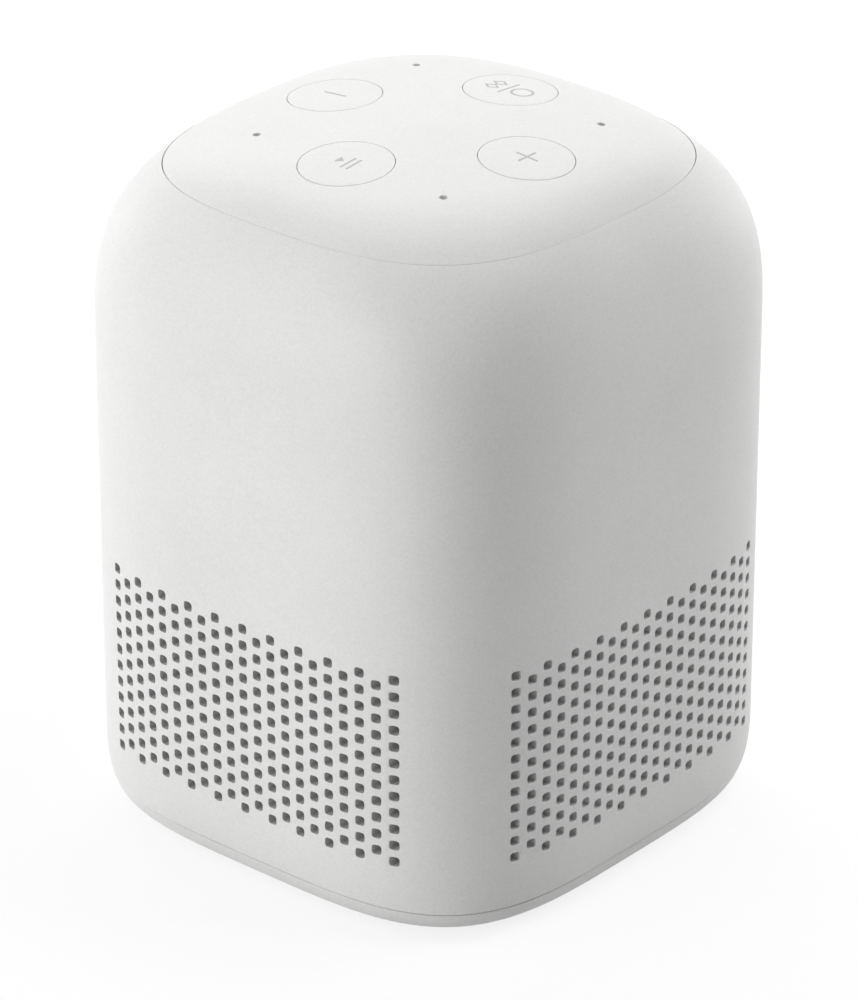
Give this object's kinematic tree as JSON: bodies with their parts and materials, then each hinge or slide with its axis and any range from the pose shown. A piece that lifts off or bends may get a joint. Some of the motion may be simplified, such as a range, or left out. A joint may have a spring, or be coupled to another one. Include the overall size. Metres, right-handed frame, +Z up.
{
  "type": "smart speaker",
  "caption": "Upright soft-cornered table speaker with perforated lower walls, a crowned control top with push buttons and microphone holes, and a foot ring.",
  "frame": {"origin": "under the middle of the foot ring, on the table", "axes": "+Z up, front grille faces -Y, sockets face +Y, +X is the volume up side"},
  "size_m": [0.085, 0.085, 0.1114],
  "materials": {
    "housing_plastic": "fine satin texture, off-white",
    "cap_plastic": "fine satin texture, off-white",
    "button_plastic": "fine satin texture, off-white, light grey printed symbols",
    "base_plastic": "fine satin texture, off-white",
    "acoustic_cloth": "dark grey open-weave speaker cloth",
    "black_plastic": "moulded, semi-matte",
    "board": "green solder mask",
    "screw_steel": "zinc plated",
    "shield_steel": "tin plated",
    "rubber": "matte",
    "foot_rubber": "light grey silicone, matte",
    "box_plastic": "moulded ABS, matte",
    "basket_steel": "black powder coat",
    "plated_steel": "zinc plated",
    "ferrite": "sintered ferrite",
    "coil_copper": "enamelled copper wire on a former",
    "spider_cloth": "impregnated cotton",
    "cone_paper": "coated paper",
    "connector_plastic": "nylon",
    "cable": "pvc"
  },
  "bodies": {
    "enclosure": {"housing": "housing_plastic", "front_cloth": "acoustic_cloth", "left_cloth": "acoustic_cloth", "right_cloth": "acoustic_cloth", "top_cap": "cap_plastic", "switch_bodies": "black_plastic", "key_board": "board", "key_board_screws": "screw_steel", "microphones": "shield_steel", "microphone_gaskets": "rubber", "speaker_box": "box_plastic", "speaker_box_gasket": "rubber", "speaker_box_lid": "box_plastic", "lid_screws": "screw_steel", "box_screws": "screw_steel", "driver_basket": "basket_steel", "driver_top_plate": "plated_steel", "driver_magnet": "ferrite", "driver_yoke": "plated_steel", "driver_screws": "screw_steel", "left_radiator_frame": "basket_steel", "right_radiator_frame": "basket_steel", "main_board": "board", "main_board_screws": "screw_steel", "radio_module": "shield_steel", "processor": "black_plastic", "board_capacitors": "shield_steel", "board_connectors": "connector_plastic", "key_ribbon": "cable", "speaker_leads": "cable", "lead_grommet": "rubber", "jack_board": "board", "jack_board_screws": "screw_steel", "power_inlet": "black_plastic", "audio_socket": "black_plastic", "power_harness": "cable", "base_plate": "base_plastic", "foot_ring": "foot_rubber", "base_screws": "screw_steel"},
    "play_pause_key": {"button_play_pause": "button_plastic", "plunger_play_pause": "black_plastic"},
    "volume_up_key": {"button_volume_up": "button_plastic", "plunger_volume_up": "black_plastic"},
    "mode_key": {"button_mode": "button_plastic", "plunger_mode": "black_plastic"},
    "volume_down_key": {"button_volume_down": "button_plastic", "plunger_volume_down": "black_plastic"},
    "driver_motor_cone": {"driver_cone": "cone_paper", "driver_dust_cap": "black_plastic", "driver_voice_coil": "coil_copper", "driver_surround": "rubber", "driver_spider": "spider_cloth"},
    "left_radiator": {"left_radiator_plate": "cone_paper", "left_radiator_surround": "rubber"},
    "right_radiator": {"right_radiator_plate": "cone_paper", "right_radiator_surround": "rubber"}
  },
  "joints": [
    {"name": "play_pause_press", "type": "slide", "parent": "enclosure", "child": "play_pause_key", "axis": [0, 0.0838, -0.9965], "range_m": [0, 0.00035], "stiffness_N_per_m": 1500, "springref_m": -0.0003},
    {"name": "volume_up_press", "type": "slide", "parent": "enclosure", "child": "volume_up_key", "axis": [-0.0838, 0, -0.9965], "range_m": [0, 0.00035], "stiffness_N_per_m": 1500, "springref_m": -0.0003},
    {"name": "mode_press", "type": "slide", "parent": "enclosure", "child": "mode_key", "axis": [0, -0.0838, -0.9965], "range_m": [0, 0.00035], "stiffness_N_per_m": 1500, "springref_m": -0.0003},
    {"name": "volume_down_press", "type": "slide", "parent": "enclosure", "child": "volume_down_key", "axis": [0.0838, 0, -0.9965], "range_m": [0, 0.00035], "stiffness_N_per_m": 1500, "springref_m": -0.0003},
    {"name": "cone_stroke", "type": "slide", "parent": "enclosure", "child": "driver_motor_cone", "axis": [0, -1, 0], "range_m": [-0.0018, 0.0018], "stiffness_N_per_m": 900, "deforming": ["driver_surround", "driver_spider"]},
    {"name": "left_radiator_stroke", "type": "slide", "parent": "enclosure", "child": "left_radiator", "axis": [-1, 0, 0], "range_m": [-0.0015, 0.0015], "stiffness_N_per_m": 600, "deforming": ["left_radiator_surround"]},
    {"name": "right_radiator_stroke", "type": "slide", "parent": "enclosure", "child": "right_radiator", "axis": [1, 0, 0], "range_m": [-0.0015, 0.0015], "stiffness_N_per_m": 600, "deforming": ["right_radiator_surround"]}
  ]
}
